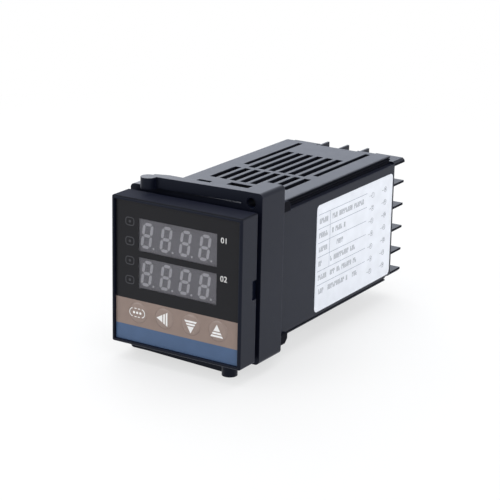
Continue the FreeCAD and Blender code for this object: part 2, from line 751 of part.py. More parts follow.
def screw_holes(body):
    holes = sketch_on(body, FRONT, BLOCK_FACE)
    for x, z, _ in terminal_spots():
        circle(holes, x, z, S.shank_radius + S.shank_gap)
    pocket(body, holes, S.shank_length - S.washer_thick - S.strip_thick + S.shank_gap, FORWARD)


def strip_slots(body):
    """Slots through the plug for the legs of the terminal strips."""
    slots = sketch_on(body, FRONT, BLOCK_FACE)
    half = S.strip_width / 2 + S.strip_gap
    for x, z, kind in terminal_spots():
        side = 1 if x.number > 0 else -1
        near_x, far_x = leg_span(side, kind)
        rectangle(slots, *span(near_x - side * S.strip_gap, far_x + side * S.strip_gap),
                  z - half, z + half)
    pocket(body, slots, S.plug_depth, FORWARD)


def leg_span(side, kind):
    """The two X faces of a strip's leg, nearest the middle first."""
    if kind == "side":
        inner = S.side_screw_across - S.leg_back
    else:
        inner = S.link_leg_across - S.strip_thick
    return side * inner, side * (inner + S.strip_thick)


def terminal_strip(number, x, z, kind):
    """Bent metal strip: plate under the screw, leg through the block, end at a board."""
    body = new_body(f"TerminalStrip{number}")
    side = 1 if x.number > 0 else -1
    near_x, far_x = leg_span(side, kind)
    reach = side * (LONG_BOARD_INNER - S.finger_clear)
    thick = S.strip_thick
    bent = S.bend_at - S.bend_length
    profile = sketch_on(body, TOP, z - S.strip_width / 2)
    if kind == "side":
        outline(profile, [(x + side * S.plate_reach, STRIP_FACE), (near_x, STRIP_FACE),
                          (near_x, S.bend_at), (reach - side * thick, bent),
                          (reach - side * thick, S.finger_end), (reach, S.finger_end),
                          (reach, bent + thick / 2), (far_x, S.bend_at + thick / 2),
                          (far_x, BLOCK_FACE), (x + side * S.plate_reach, BLOCK_FACE)])
    else:
        outline(profile, [(x - side * S.plate_reach, STRIP_FACE), (far_x, STRIP_FACE),
                          (far_x, S.link_at + thick), (reach, S.link_at + thick),
                          (reach, S.link_at), (near_x, S.link_at), (near_x, BLOCK_FACE),
                          (x - side * S.plate_reach, BLOCK_FACE)])
    pad(body, profile, S.strip_width, BACKWARD)
    hole = sketch_on(body, FRONT, STRIP_FACE)
    circle(hole, x, z, S.shank_radius + S.shank_gap)
    pocket(body, hole, S.strip_thick, FORWARD)
    return finish(body, f"terminal_strip_{number + 1}")


def terminal_screw_shape():
    """Slotted pan-head screw, head to the rear, standing on the washer's face."""
    head = Part.makeCylinder(S.head_radius.number, S.head_height.number,
                             FreeCAD.Vector(0, 0, 0), FreeCAD.Vector(0, 1, 0))
    rim = [edge for edge in head.Edges if near(edge.BoundBox.YMin, S.head_height)]
    head = head.makeChamfer(S.head_bevel.number, rim)
    length = S.shank_length.number
    shank = Part.makeCylinder(S.shank_radius.number, length, FreeCAD.Vector(0, -length, 0),
                              FreeCAD.Vector(0, 1, 0))
    width, depth, reach = S.drive_width.number, S.drive_depth.number, S.head_radius.number
    drive = Part.makeBox(2 * reach, depth, width,
                         FreeCAD.Vector(-reach, S.head_height.number - depth, -width / 2))
    return head.fuse(shank).cut(drive).removeSplitter()


def washer_shape():
    """Square clamp washer under a screw head."""
    half = S.washer_side.number / 2
    thick = S.washer_thick.number
    plate = Part.makeBox(2 * half, thick, 2 * half, FreeCAD.Vector(-half, -thick, -half))
    bore = Part.makeCylinder(S.shank_radius.number + S.washer_gap.number, thick,
                             FreeCAD.Vector(0, -thick, 0), FreeCAD.Vector(0, 1, 0))
    return plate.cut(bore)


def group_of(shape, label):
    """The same fastener at every terminal, kept as separate solids of one piece."""
    copies = []
    for x, z, _ in terminal_spots():
        copy = shape.copy()
        copy.translate(FreeCAD.Vector(x.number, WASHER_FACE.number, z.number))
        copies.append(copy)
    group = DOC.addObject("Part::Feature", label.title().replace("_", ""))
    group.Shape = Part.makeCompound(copies)
    return keep(group, label)


def transformer():
    """Power transformer on the left board: core, bobbin on two rails, and winding."""
    board = -LONG_BOARD_INNER
    base = board + S.core_stand
    top = base + S.core_depth
    half = S.core_height / 2
    end = S.core_start + S.core_length
    leg, gap, wall = S.core_leg, S.coil_gap, S.bobbin_wall
    core = box("CoreBlank", (base, S.core_start, -half), (top, end, half))
    windows = fuse("CoreWindows", [
        box("CoreWindowUp", (base, S.core_start + leg, leg / 2), (top, end - leg, half - leg / 2)),
        box("CoreWindowDown", (base, S.core_start + leg, leg / 2 - half),
            (top, end - leg, -leg / 2))])
    keep(cut("TransformerCore", core, windows), "transformer_core")
    start = S.core_start + leg + gap
    stop = end - leg - gap
    front = base - S.coil_proud
    back = top + S.coil_proud
    edge = half - leg / 2 - gap
    hole = leg / 2 + gap
    tube = hole + wall
    blank = fuse("BobbinBlank", [
        box("BobbinCheekFront", (board, start, -edge), (back, start + wall, edge)),
        box("BobbinCheekRear", (board, stop - wall, -edge), (back, stop, edge)),
        box("BobbinTube", (base - gap - wall, start, -tube), (top + gap + wall, stop, tube))])
    bore = box("BobbinBore", (base - gap, start, -hole), (top + gap, stop, hole))
    keep(cut("TransformerBobbin", blank, bore), "transformer_bobbin")
    turns = box("WindingBlank", (front, start + wall, wall - edge),
                (back - wall, stop - wall, edge - wall))
    inside = box("WindingInside", (base - gap - wall, start + wall, -tube),
                 (top + gap + wall, stop - wall, tube))
    keep(cut("TransformerWinding", turns, inside), "transformer_winding")


def can(name, label, radius, length, start, height):
    """Electrolytic capacitor that stands on the left board, with a groove near its foot."""
    foot = -LONG_BOARD_INNER
    middle = start + radius
    ring = foot + S.groove_high
    body = rod(f"{name}Body", radius, length, (foot, middle, height), "X")
    outer = rod(f"{name}GrooveOuter", radius + S.groove_depth, S.groove_width,
                (ring, middle, height), "X")
    inner = rod(f"{name}GrooveInner", radius - S.groove_depth, S.groove_width,
                (ring, middle, height), "X")
    return keep(cut(name, body, cut(f"{name}Groove", outer, inner)), label)


def relay(number, low):
    """Sealed relay on the right board, rounded round its lid."""
    body = new_body(f"OutputRelay{number}")
    blank = sketch_on(body, SIDE, LONG_BOARD_INNER)
    rectangle(blank, S.relay_start, S.relay_start + S.relay_length, low, low + S.relay_height)
    pad(body, blank, S.relay_depth, FORWARD)
    DOC.recompute()
    top = LONG_BOARD_INNER - S.relay_depth
    lid = edges_where(body.Shape, lambda edge: near(edge.XMax, top))
    dress(body, "Fillet", lid, Radius=S.relay_round)
    return finish(body, f"output_relay_{number}")


def processor_chip():
    """Chip on the right board: body with an end notch and two rows of leads."""
    face = LONG_BOARD_INNER - S.chip_stand
    end = S.chip_start + S.chip_length
    half = S.chip_width / 2
    blank = box("ChipBlank", (face - S.chip_thick, S.chip_start, -half), (face, end, half))
    notch = rod("ChipNotch", S.chip_notch, S.notch_depth,
                (face - S.chip_thick, S.chip_start, as_rule(0)), "X")
    leads = []
    count = int(S.lead_count.number)
    for k in range(count):
        middle = (S.chip_start + end) / 2 + S.lead_pitch * (k - (count - 1) / 2)
        for side in (-1, 1):
            low, high = span(side * half, side * (half + S.lead_thick))
            leads.append(box(f"ChipLead{k}{'Up' if side > 0 else 'Down'}",
                             (face - S.chip_thick / 2, middle - S.lead_width / 2, low),
                             (LONG_BOARD_INNER, middle + S.lead_width / 2, high)))
    keep(fuse("ProcessorChip", [cut("ChipBody", blank, notch)] + leads), "processor_chip")


def board_header(side, label):
    """Row of pins in a plastic strip that joins a long board to the display board."""
    left, right = span(side * (LONG_BOARD_INNER - S.header_side), side * LONG_BOARD_INNER)
    half = S.header_height / 2
    foot = DISPLAY_BACK + S.header_side
    strip = box(f"{label}Strip", (left, DISPLAY_BACK, -half), (right, foot, half))
    middle = (left + right) / 2
    pins = []
    count = int(S.header_pins.number)
    thick = S.header_pin_side / 2
    for k in range(count):
        height = S.lead_pitch * (k - (count - 1) / 2)
        pins.append(box(f"{label}Pin{k}", (middle - thick, foot, height - thick),
                        (middle + thick, DISPLAY_BACK + S.header_pin_length, height + thick)))
    keep(fuse(label.title().replace("_", ""), [strip] + pins), label)


def build():
    """Make every piece of the controller."""
    front_bezel()
    front_film()
    for number, label in enumerate(("key_set", "key_shift", "key_down", "key_up")):
        key_cap(number, label)
        key_switch(number)
        switch_plunger(number)
        indicator_lamp(number)
    display_module("display_module_upper", S.digits_upper)
    display_module("display_module_lower", S.digits_lower)
    display_board()
    long_board(-1, "power_board")
    long_board(1, "control_board")
    case_shell()
    side_label()
    mounting_frame()
    terminal_block()
    for number, (x, z, kind) in enumerate(terminal_spots()):
        terminal_strip(number, x, z, kind)
    group_of(washer_shape(), "terminal_washers")
    group_of(terminal_screw_shape(), "terminal_screws")
    transformer()
    can("FilterCapacitor", "filter_capacitor", S.large_can_radius, S.large_can_length,
        S.large_can_start, S.can_high)
    can("OutputCapacitor", "output_capacitor", S.small_can_radius, S.small_can_length,
        S.small_can_start, S.can_low)
    relay(1, S.relay_apart / 2)
    relay(2, -S.relay_apart / 2 - S.relay_height)
    processor_chip()
    board_header(-1, "board_header_left")
    board_header(1, "board_header_right")


def check():
    """Stop if anything in the document failed to build."""
    DOC.recompute()
    for item in DOC.Objects:
        if "Invalid" in item.State or "Error" in item.State:
            raise RuntimeError(f"{item.Name} is {item.State}")
    for node in NODES:
        if node.Shape.isNull() or not node.Shape.isValid():
            raise RuntimeError(f"{node.Label} has no valid shape")


def write():
    """Write one file for each piece, named after its label."""
    os.makedirs("parts", exist_ok=True)
    for node in NODES:
        node.Shape.exportStep(f"parts/{node.Label}.step")
        print(node.Label, round(node.Shape.Volume, 2), len(node.Shape.Solids))


build()
check()
write()
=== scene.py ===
"""Looks of a panel-mount temperature controller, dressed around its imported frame.

Drawings on a face are in millimetres; the scene itself is in metres, +Z up, front towards -Y.
"""
import json
import math

import bmesh
import bpy
from mathutils import Matrix, Vector


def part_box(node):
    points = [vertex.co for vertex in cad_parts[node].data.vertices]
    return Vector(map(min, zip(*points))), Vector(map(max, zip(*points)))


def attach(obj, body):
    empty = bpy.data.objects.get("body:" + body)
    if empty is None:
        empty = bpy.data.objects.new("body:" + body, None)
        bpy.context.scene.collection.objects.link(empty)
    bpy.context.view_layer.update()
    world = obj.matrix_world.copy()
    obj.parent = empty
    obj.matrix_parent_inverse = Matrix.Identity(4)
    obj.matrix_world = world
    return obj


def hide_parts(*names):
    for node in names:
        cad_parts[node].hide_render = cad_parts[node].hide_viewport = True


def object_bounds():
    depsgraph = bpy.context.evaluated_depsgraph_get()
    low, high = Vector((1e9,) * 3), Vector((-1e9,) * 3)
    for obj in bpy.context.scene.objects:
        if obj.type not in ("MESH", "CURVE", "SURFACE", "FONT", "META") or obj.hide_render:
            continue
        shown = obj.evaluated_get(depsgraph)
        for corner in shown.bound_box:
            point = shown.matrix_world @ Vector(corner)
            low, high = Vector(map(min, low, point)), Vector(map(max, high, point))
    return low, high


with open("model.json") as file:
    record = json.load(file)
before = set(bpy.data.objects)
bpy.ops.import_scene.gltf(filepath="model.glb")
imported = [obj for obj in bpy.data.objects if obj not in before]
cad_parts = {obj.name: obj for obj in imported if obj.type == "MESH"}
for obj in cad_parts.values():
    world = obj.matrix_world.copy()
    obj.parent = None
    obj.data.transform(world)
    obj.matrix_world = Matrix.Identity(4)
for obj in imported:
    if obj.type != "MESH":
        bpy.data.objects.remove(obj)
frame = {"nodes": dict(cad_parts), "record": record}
cad_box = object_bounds()

MM = 0.001

# Painted shade: linear colour and roughness laid on dark plastic where it lies in shade
PAINTED_SHADE_COLOUR, SHADED_ROUGHNESS = (0.0022, 0.0014, 0.0002), 0.95

# Stretches over which painted shade comes or goes: at the bezel's top face, with how dark it gets,
# the case's skin and rear end and the sides of the fins, each from that face; and at the lower rails
# by height and the frame's claws by depth
BEZEL_FADE, BEZEL_SHADE = (-0.4 * MM, -0.1 * MM), 0.85
SKIN_FADE, END_FADE = (-0.5 * MM, -0.15 * MM), (-0.2 * MM, -0.1 * MM)
FIN_FADE = (-0.12 * MM, -0.04 * MM)
RAIL_FADE, CLAW_FADE = (-18 * MM, -16 * MM), (15.3 * MM, 15.6 * MM)

# Camera, fitted to the corners of the case in the 500 by 500 frame
CAMERA_AZIMUTH, CAMERA_ELEVATION, CAMERA_ROLL = (math.radians(a) for a in (31.697, 17.233, 1.196))
CAMERA_DISTANCE = 581.488 * MM
CAMERA_TARGET = Vector((-4.1, 41.47, -3.08)) * MM
CAMERA_LENS, CAMERA_SENSOR, CAMERA_NEAR = 126.355, 36, 0.01

# Faces to draw on: columns are the ways across, up and out
FRONT = Matrix(((1, 0, 0, 0), (0, 0, -1, 0), (0, 1, 0, 0), (0, 0, 0, 1)))
RIGHT = Matrix(((0, 0, 1, 0), (1, 0, 0, 0), (0, 1, 0, 0), (0, 0, 0, 1)))
LEFT = Matrix(((0, 0, -1, 0), (-1, 0, 0, 0), (0, 1, 0, 0), (0, 0, 0, 1)))
FRONT_MM, RIGHT_MM, LEFT_MM = (face @ Matrix.Scale(MM, 4) for face in (FRONT, RIGHT, LEFT))

# Thickness of print, capital height of Blender's own font as a share of its size, and the
# distance in metres under which two corners are one
PRINT = 0.02
CAPITAL_SHARE = 0.7
SAME_PLACE = 1e-7

# Front film: edges of the brown band, and the windows with the depth of their clear sheet
BAND_TOP, BAND_LOW = -9.0, -17.7
WINDOW_LEFT, WINDOW_RIGHT, WINDOW_DEPTH = -14.25, 14.6, 0.1
WINDOWS = ((7.2, 17.75), (-4.85, 5.2))

# Lamp marks, each a round-cornered ring with a dot, and the numbers beside the rows of digits
MARK_ACROSS, MARK_TOP, MARK_PITCH, MARK_COUNT = -17.6, 16.2, 6.33, 4
MARK_WIDE, MARK_HIGH, MARK_ROUND, MARK_LINE, MARK_DOT = 3.4, 2.8, 1.0, 0.32, 0.45
NUMBERS, NUMBER_ACROSS, NUMBER_HEIGHT = (("01", 15.95), ("02", 3.85)), 17.15, 1.8

# Keys: the cap in its hole, its flange, and a dome that falls by KEY_DOME towards its rim. A
# higher KEY_POWER holds it flat for longer, and a higher KEY_CROWDING draws its rings to the rim
KEYS = ("key_set", "key_shift", "key_down", "key_up")
KEY_RADIUS, KEY_GAP, KEY_FLANGE, KEY_FLANGE_THICK = 3.45, 0.015, 3.8, 0.6
KEY_RAISE, KEY_DOME, KEY_STEPS, KEY_POWER, KEY_CROWDING = 0.1, 0.41, 16, 8, 1.6

# Signs on the keys: a triangle and two bars as shares of the height, or dots in a broken oval.
# Each is set into the crown by SIGN_SINK
SIGN_BASE, SIGN_HEIGHT = 4.6, 4.1
SIGN_CUTS = ((0.0, 0.54), (0.62, 0.77), (0.85, 1.0))
SIGN_TURNS = {"key_shift": math.pi / 2, "key_down": math.pi, "key_up": 0.0}
SIGN_OFFSETS = {"key_set": (-0.15, -0.05), "key_shift": (-0.65, -0.05), "key_down": (0.1, -0.65),
                "key_up": (-0.2, 0.1)}
SIGN_SINK = 0.01
OVAL_APART, OVAL_RADIUS, OVAL_LINE, OVAL_ARC, OVAL_STEPS = 1.5, 1.5, 0.26, 156, 16
OVAL_DOTS, OVAL_DOT_RADIUS = (-1.2, 0, 1.2), 0.42
OVAL_DASHES, OVAL_DASH_LENGTH = (-1.05, 0.25), 0.8

# Digits: their blocks, bars and points
DISPLAY_ROUND, DISPLAY_FACE_THICK = 0.3, 0.4
DIGIT_FIRST, DIGIT_PITCH, DIGIT_COUNT, DIGIT_DROP = -11.45, 7.1, 4, 0.3
DIGIT_HALF_WIDE, DIGIT_HALF_HIGH, DIGIT_LINE, DIGIT_GAP = 1.48, 3.7, 1.0, 0.16
DIGIT_SLANT = math.tan(math.radians(8))
POINT_RADIUS, POINT_ACROSS, POINT_DROP = 0.36, 2.45, 0.1

# Long boards: side of the object, face, and the columns and rows of leads of each part on them
BOARDS = (("power_board", -1, LEFT_MM, (("board_header_left", 1, 10), ("transformer_core", 2, 6),
                                        ("output_capacitor", 1, 2), ("filter_capacitor", 1, 2))),
          ("control_board", 1, RIGHT_MM, (("board_header_right", 1, 10), ("processor_chip", 10, 2),
                                          ("output_relay_1", 2, 3), ("output_relay_2", 2, 3))))
LEAD_INSET = 1.6

# Solder joints as (radius, height), and conductors: how far along the first one bends, the step to
# the next one's bend, the room that a conductor needs beside its slant and at each end, the rise
# that is taken as level, and the limit of a mitre
JOINT_PROFILE = ((0, 0), (0.8, 0), (0.55, 0.22), (0.3, 0.5), (0, 0.58))
TRACK_WIDE, TRACK_HIGH = 0.7, 0.04
TRACK_BEND, TRACK_BEND_STEP, TRACK_ROOM, TRACK_END = 1.2, 0.7, 0.8, 0.3
TRACK_LEVEL, TRACK_MITRE = 0.05, 0.3

# Side label: the rows of its table, the row down to which the table is split, and its rules
LABEL_MARGIN, LABEL_TABLE_END, LABEL_LINE = 1.1, 33.5, 0.14
LABEL_ROW_FIRST, LABEL_ROW_PITCH, LABEL_ROWS = 3.3, 4.78, 6
LABEL_SPLIT, LABEL_SPLIT_ROW = 8.6, 4

# Strokes that stand for print. A sign of kind 1 or 4 has two full strokes, of kind 2 a full and
# a low one, of kind 3 a full and a high one, and 0 is a gap
PRINT_HEIGHT, PRINT_WIDE, PRINT_STROKE, PRINT_SPACE = 1.75, 0.7, 0.18, 0.42

# Lines of print: start, end, row and the kinds of their signs, over and over
LABEL_LINES = (
    (1.8, 7.6, 0, (1, 3, 2, 4, 1, 0)),
    (10.2, 31.5, 0, (3, 2, 1, 0, 4, 1, 3, 3, 2, 1, 4, 1, 0, 3, 2, 4)),
    (1.8, 7.6, 1, (3, 1, 4, 2, 2, 0)),
    (10.2, 19.5, 1, (4, 0, 3, 2, 1, 2, 0, 1)),
    (1.8, 7.6, 2, (2, 4, 3, 1, 4, 0)),
    (13.5, 18.0, 2, (3, 1, 3)),
    (1.8, 4.6, 3, (1, 3)),
    (9.6, 26.5, 3, (2, 0, 4, 1, 1, 3, 3, 2, 1, 4, 3, 0, 2, 1)),
    (1.8, 7.6, 4, (3, 2, 2, 4, 1, 0)),
    (9.6, 27.5, 4, (4, 3, 3, 0, 1, 2, 0, 3, 1, 2, 4, 3, 1, 0, 3, 2)),
    (2.4, 6.4, 5, (2, 1, 3, 0)),
    (8.4, 22.0, 5, (4, 1, 3, 2, 3, 1, 1, 2, 4, 3, 0, 1)),
    (25.0, 29.0, 5, (3, 1, 2)),
)

# Numbered rings, one for each terminal, in two columns
RING_COLUMNS, RING_FIRST, RING_PITCH, RING_RADIUS, RING_STUB = (37.6, 46.6), 4.6, 4.5, 0.95, 1.5
RING_COUNT, RING_ROWS = 14, 7

# Studio: the place that the lamps face, each lamp's place, side, power and colour, the dim world
# that lights the object, and the floor with the distances over which it fades to white
STUDIO_MIDDLE = Vector((0, 0.04, 0))
LAMPS = (("overhead", (-0.05, 0.2, 0.75), 0.9, 4.5, (1, 1, 1)),
         ("right_front", (0.7, -0.4, 0.4), 0.6, 2.6, (0.84, 0.91, 1.0)),
         ("left_front", (-0.5, -0.75, 0.35), 0.6, 2.0, (1, 1, 1)),
         ("left_rear", (-0.7, 0.5, 0.35), 0.6, 2.0, (1, 1, 1)),
         ("behind", (-0.41, 0.69, 0.24), 0.6, 1.2, (0.8, 0.88, 1.0)))
WORLD_COLOUR, WORLD_STRENGTH = (0.98, 0.99, 1, 1), 0.5
FLOOR_RADIUS, FLOOR_THICK, FLOOR_COLOUR = 1.2, 0.002, (0.84, 0.84, 0.84)
FLOOR_FADE, FLOOR_GLOW = (0.08, 0.4), (0.65, 1.0)


def srgb(red, green, blue):
    """Linear colour of an 8-bit screen colour."""
    def linear(value):
        value /= 255
        return value / 12.92 if value <= 0.04045 else ((value + 0.055) / 1.055) ** 2.4
    return linear(red), linear(green), linear(blue)


class Finish:
    """A procedural material: one Principled shader with noise on colour, roughness and height."""

    def __init__(self, name, colour, roughness, **sockets):
        self.material = bpy.data.materials.new(name)
        self.material.use_nodes = True
        self.nodes = self.material.node_tree.nodes
        self.links = self.material.node_tree.links
        self.shader = self.nodes["Principled BSDF"]
        self.colour, self.roughness = colour, roughness
        self.shader.inputs["Base Color"].default_value = (*colour, 1)
        self.shader.inputs["Roughness"].default_value = roughness
        for socket, value in sockets.items():
            self.shader.inputs[socket.replace("_", " ")].default_value = value
        self.place = self.nodes.new("ShaderNodeTexCoord").outputs["Object"]

    def node(self, kind, **values):
        """A node with its inputs set, or linked where the value is a socket."""
        node = self.nodes.new(kind)
        for name, value in values.items():
            socket = node.inputs[name.replace("_", " ")]
            if isinstance(value, bpy.types.NodeSocket):
                self.links.new(value, socket)
            else:
                socket.default_value = value
        return node

    def noise(self, size, detail=2.0):
        """Noise whose features are about the size given, in metres."""
        return self.node("ShaderNodeTexNoise", Vector=self.place, Scale=1 / size,
                         Detail=detail).outputs["Fac"]

    def ranged(self, value, low, high, start=0.3, end=0.7):
        """A value spread over another range."""
        node = self.node("ShaderNodeMapRange", Value=value, From_Min=start, From_Max=end,
                         To_Min=low, To_Max=high)
        return node.outputs["Result"]

    def blend(self, factor, one, other):
        """A colour between two, by a factor; a colour Mix node has its ends at inputs 6 and 7."""
        mix = self.nodes.new("ShaderNodeMix")
        mix.data_type = "RGBA"
        for socket, value in ((mix.inputs[0], factor), (mix.inputs[6], one), (mix.inputs[7], other)):
            if isinstance(value, bpy.types.NodeSocket):
                self.links.new(value, socket)
            else:
                socket.default_value = value if isinstance(value, float) else (*value, 1)
        return mix.outputs[2]

    def maths(self, operation, *values):
        """Result of one maths step on sockets."""
        node = self.nodes.new("ShaderNodeMath")
        node.operation = operation
        for socket, value in zip(node.inputs, values):
            self.links.new(value, socket)
        return node.outputs[0]

    def along(self, axis, either_side=False):
        """Distance from the middle along an axis, on one side or on either."""
        value = self.node("ShaderNodeSeparateXYZ", Vector=self.place).outputs[axis]
        return self.maths("ABSOLUTE", value) if either_side else value

    def ridged(self, way, scale, distortion, strength, depth):
        """Fine ridges side by side along an axis."""
        ridges = self.node("ShaderNodeTexWave", Vector=self.place, Scale=scale,
                           Distortion=distortion)
        ridges.bands_direction = way
        bump = self.node("ShaderNodeBump", Strength=strength, Distance=depth,
                         Height=ridges.outputs["Fac"])
        self.links.new(bump.outputs["Normal"], self.shader.inputs["Normal"])
        return self

    def shaded(self, mask):
        """Painted shade: darker and dull where the mask is one."""
        inputs = self.shader.inputs
        skin, gloss = (inputs[name].links[0].from_socket for name in ("Base Color", "Roughness"))
        self.links.new(self.blend(mask, skin, PAINTED_SHADE_COLOUR), inputs["Base Color"])
        dull = self.node("ShaderNodeMapRange", Value=mask, To_Min=gloss, To_Max=SHADED_ROUGHNESS)
        self.links.new(dull.outputs["Result"], inputs["Roughness"])
        return self

    def mottled(self, size, share):
        """Colour a little lighter and darker over patches of a size."""
        dark = tuple(part * (1 - share) for part in self.colour)
        light = tuple(part * (1 + share) for part in self.colour)
        colour = self.blend(self.ranged(self.noise(size), 0.0, 1.0), dark, light)
        self.links.new(colour, self.shader.inputs["Base Color"])
        return self

    def uneven(self, size, spread):
        """Roughness that varies over patches of a size."""
        rough = self.ranged(self.noise(size, 3.0), self.roughness - spread, self.roughness + spread)
        self.links.new(rough, self.shader.inputs["Roughness"])
        return self

    def grained(self, size, depth, edge=0.0, strength=0.5):
        """Fine surface height, with edges rounded off where a radius is given."""
        bump = self.node("ShaderNodeBump", Strength=strength, Distance=depth,
                         Height=self.noise(size, 3.0))
        if edge:
            bevel = self.node("ShaderNodeBevel", Radius=edge)
            bevel.samples = 4
            self.links.new(bevel.outputs["Normal"], bump.inputs["Normal"])
        self.links.new(bump.outputs["Normal"], self.shader.inputs["Normal"])
        return self


def moulded(name, colour, roughness, edge=0.25 * MM, depth=0.012 * MM, **sockets):
    """Moulded plastic: fine spark-eroded grain, soft edges and slightly uneven gloss."""
    finish = Finish(name, colour, roughness, **sockets)
    finish.mottled(6 * MM, share=0.05).uneven(3 * MM, spread=0.012)
    return finish.grained(0.35 * MM, depth, edge)


def dark_moulded(name, colour, roughness=0.36, edge=0.3 * MM):
    """Dark moulding with a low gloss and a faint blue sheen."""
    return moulded(name, colour, roughness, edge, Specular_IOR_Level=0.17,
                   Specular_Tint=(0.72, 0.81, 1.0, 1.0), Sheen_Weight=0.06, Sheen_Roughness=0.4,
                   Sheen_Tint=(0.22, 0.34, 1.0, 1.0))


def bezel_finish(name, colour):
    """Bezel plastic, with painted shade on the top face, where the frame behind it shades it."""
    finish = dark_moulded(name, colour)
    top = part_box("front_bezel")[1].z
    return finish.shaded(finish.ranged(finish.along("Z"), 0.0, BEZEL_SHADE,
                                       *(top + step for step in BEZEL_FADE)))


def case_finish(name, colour):
    """Case plastic, with painted shade below its outer skin: darker and dull in upper rails, slots
    and inside.
    """
    finish = dark_moulded(name, colour)
    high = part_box("case_shell")[1]
    reach = finish.maths("MAXIMUM", finish.along("X", True), finish.along("Z", True))
    within = finish.ranged(reach, 1.0, 0.0, *(high.z + step for step in SKIN_FADE))
    before_end = finish.ranged(finish.along("Y"), 1.0, 0.0, *(high.y + step for step in END_FADE))
    above_rails = finish.ranged(finish.along("Z"), 0.0, 1.0, *RAIL_FADE)
    # Painted shade in the recesses: inside the skin, before the rear end and above the lower rails
    mask = finish.maths("MULTIPLY", within, before_end)
    return finish.shaded(finish.maths("MULTIPLY", mask, above_rails))


def frame_finish(name, colour):
    """Frame plastic, with painted shade on the claws at the rear, where the rails shade them."""
    finish = dark_moulded(name, colour)
    return finish.shaded(finish.ranged(finish.along("Y"), 0.0, 1.0, *CLAW_FADE))


def block_finish(name, colour):
    """Block plastic, with painted shade on the side edges of the fins, darker than their faces."""
    finish = dark_moulded(name, colour, 0.38, 0.15 * MM)
    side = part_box("terminal_block")[1].x
    return finish.shaded(finish.ranged(finish.along("X", True), 0.0, 1.0,
                                       *(side + step for step in FIN_FADE)))


def metal(name, colour, roughness, size):
    """Plain metal with a fine grain of a size, soft edges and slightly uneven gloss."""
    finish = Finish(name, colour, roughness, Metallic=1.0)
    finish.mottled(2 * MM, share=0.06).uneven(0.8 * MM, spread=0.08)
    return finish.grained(size, 0.003 * MM, edge=0.12 * MM, strength=0.3)


def circuit_board(name):
    """Green solder mask over glass cloth, with the weave just showing."""
    finish = Finish(name, srgb(18, 92, 54), 0.3, Specular_IOR_Level=0.5)
    weave = finish.node("ShaderNodeTexBrick", Vector=finish.place, Scale=900.0,
                        Color1=(*srgb(18, 92, 54), 1), Color2=(*srgb(21, 100, 58), 1),
                        Mortar=(*srgb(15, 80, 46), 1)).outputs["Color"]
    patches = finish.ranged(finish.noise(7 * MM), 0.0, 0.35)
    finish.links.new(finish.blend(patches, weave, srgb(14, 74, 46)),
                     finish.shader.inputs["Base Color"])
    return finish.uneven(2 * MM, spread=0.05).grained(0.5 * MM, 0.01 * MM, edge=0.1 * MM)


def wound(name):
    """Enamelled wire laid side by side, seen as fine ridges along the coil."""
    finish = Finish(name, srgb(150, 74, 38), 0.3, Metallic=1.0)
    return finish.ridged("Y", scale=620.0, distortion=0.6, strength=0.9,
                         depth=0.12 * MM).mottled(3 * MM, share=0.15)


def laminated(name):
    """Stamped core sheets, seen as fine lines across the stack."""
    finish = Finish(name, srgb(92, 88, 84), 0.45, Metallic=0.85)
    return finish.ridged("X", scale=900.0, distortion=0.2, strength=0.7,
                         depth=0.06 * MM).mottled(2.5 * MM, share=0.18)


def printed(name, colour, roughness=0.4, **sockets):
    """Ink or film with a fine, slightly uneven surface."""
    finish = Finish(name, colour, roughness, **sockets)
    finish.mottled(4 * MM, share=0.04).uneven(2 * MM, spread=0.04)
    return finish.grained(0.25 * MM, 0.005 * MM)


FINISHES = {
    "bezel_plastic": bezel_finish("bezel_plastic", srgb(12, 14, 24)),
    "case_plastic": case_finish("case_plastic", srgb(9, 12, 23)),
    "frame_plastic": frame_finish("frame_plastic", srgb(12, 14, 24)),
    "block_plastic": block_finish("block_plastic", srgb(13, 15, 24)),
    "film_print": printed("film_black", srgb(22, 22, 26), 0.32, Specular_IOR_Level=0.18),
    "key_film": printed("key_film", srgb(140, 122, 113), 0.24, Specular_IOR_Level=0.5),
    "display_face": moulded("display_face", srgb(118, 116, 122), 0.5, 0.1 * MM),
    "lamp_lens": printed("lamp_lens", srgb(176, 178, 168), 0.2, Alpha=0.8),
    "switch_plastic": moulded("switch_plastic", srgb(28, 28, 30), 0.45, 0.15 * MM),
    "plunger_plastic": moulded("plunger_plastic", srgb(70, 66, 62), 0.5, 0.15 * MM),
    "circuit_board": circuit_board("circuit_board"),
    "label_sheet": printed("label_sheet", srgb(240, 242, 248), 0.45),
    "contact_brass": metal("contact_brass", srgb(206, 172, 92), 0.28, 0.3 * MM),
    "fastener_steel": metal("fastener_steel", srgb(196, 196, 192), 0.26, 0.2 * MM),
    "core_iron": laminated("core_iron"),
    "bobbin_plastic": moulded("bobbin_plastic", srgb(214, 208, 190), 0.5, 0.2 * MM),
    "winding_wire": wound("winding_wire"),
    "can_aluminium": moulded("can_sleeve", srgb(38, 52, 92), 0.3, 0.2 * MM),
    "relay_plastic": moulded("relay_plastic", srgb(36, 74, 140), 0.4, 0.3 * MM),
    "chip_plastic": moulded("chip_plastic", srgb(30, 30, 31), 0.5, 0.12 * MM),
    "header_plastic": moulded("header_plastic", srgb(26, 26, 28), 0.5, 0.1 * MM),
}
BAND_BROWN = printed("film_brown", srgb(140, 122, 113), 0.34, Specular_IOR_Level=0.3)
BAND_BLUE = printed("film_blue", srgb(74, 96, 128), 0.34, Specular_IOR_Level=0.25)
WINDOW = printed("film_window", srgb(96, 95, 100), 0.3, Alpha=0.2, Specular_IOR_Level=0.3)
MARK_INK = printed("mark_ink", srgb(60, 60, 64), 0.45, Specular_IOR_Level=0.2)
WHITE_INK = printed("white_ink", srgb(232, 230, 228), 0.45)
DIGIT_BODY = moulded("digit_body", srgb(52, 52, 56), 0.5, 0.15 * MM)
DIGIT_SEGMENT = printed("digit_segment", srgb(194, 193, 198), 0.4)
SOLDER = metal("solder", srgb(196, 198, 200), 0.25, 0.2 * MM)
TRACK = printed("board_track", srgb(38, 128, 76), 0.3, Specular_IOR_Level=0.5)
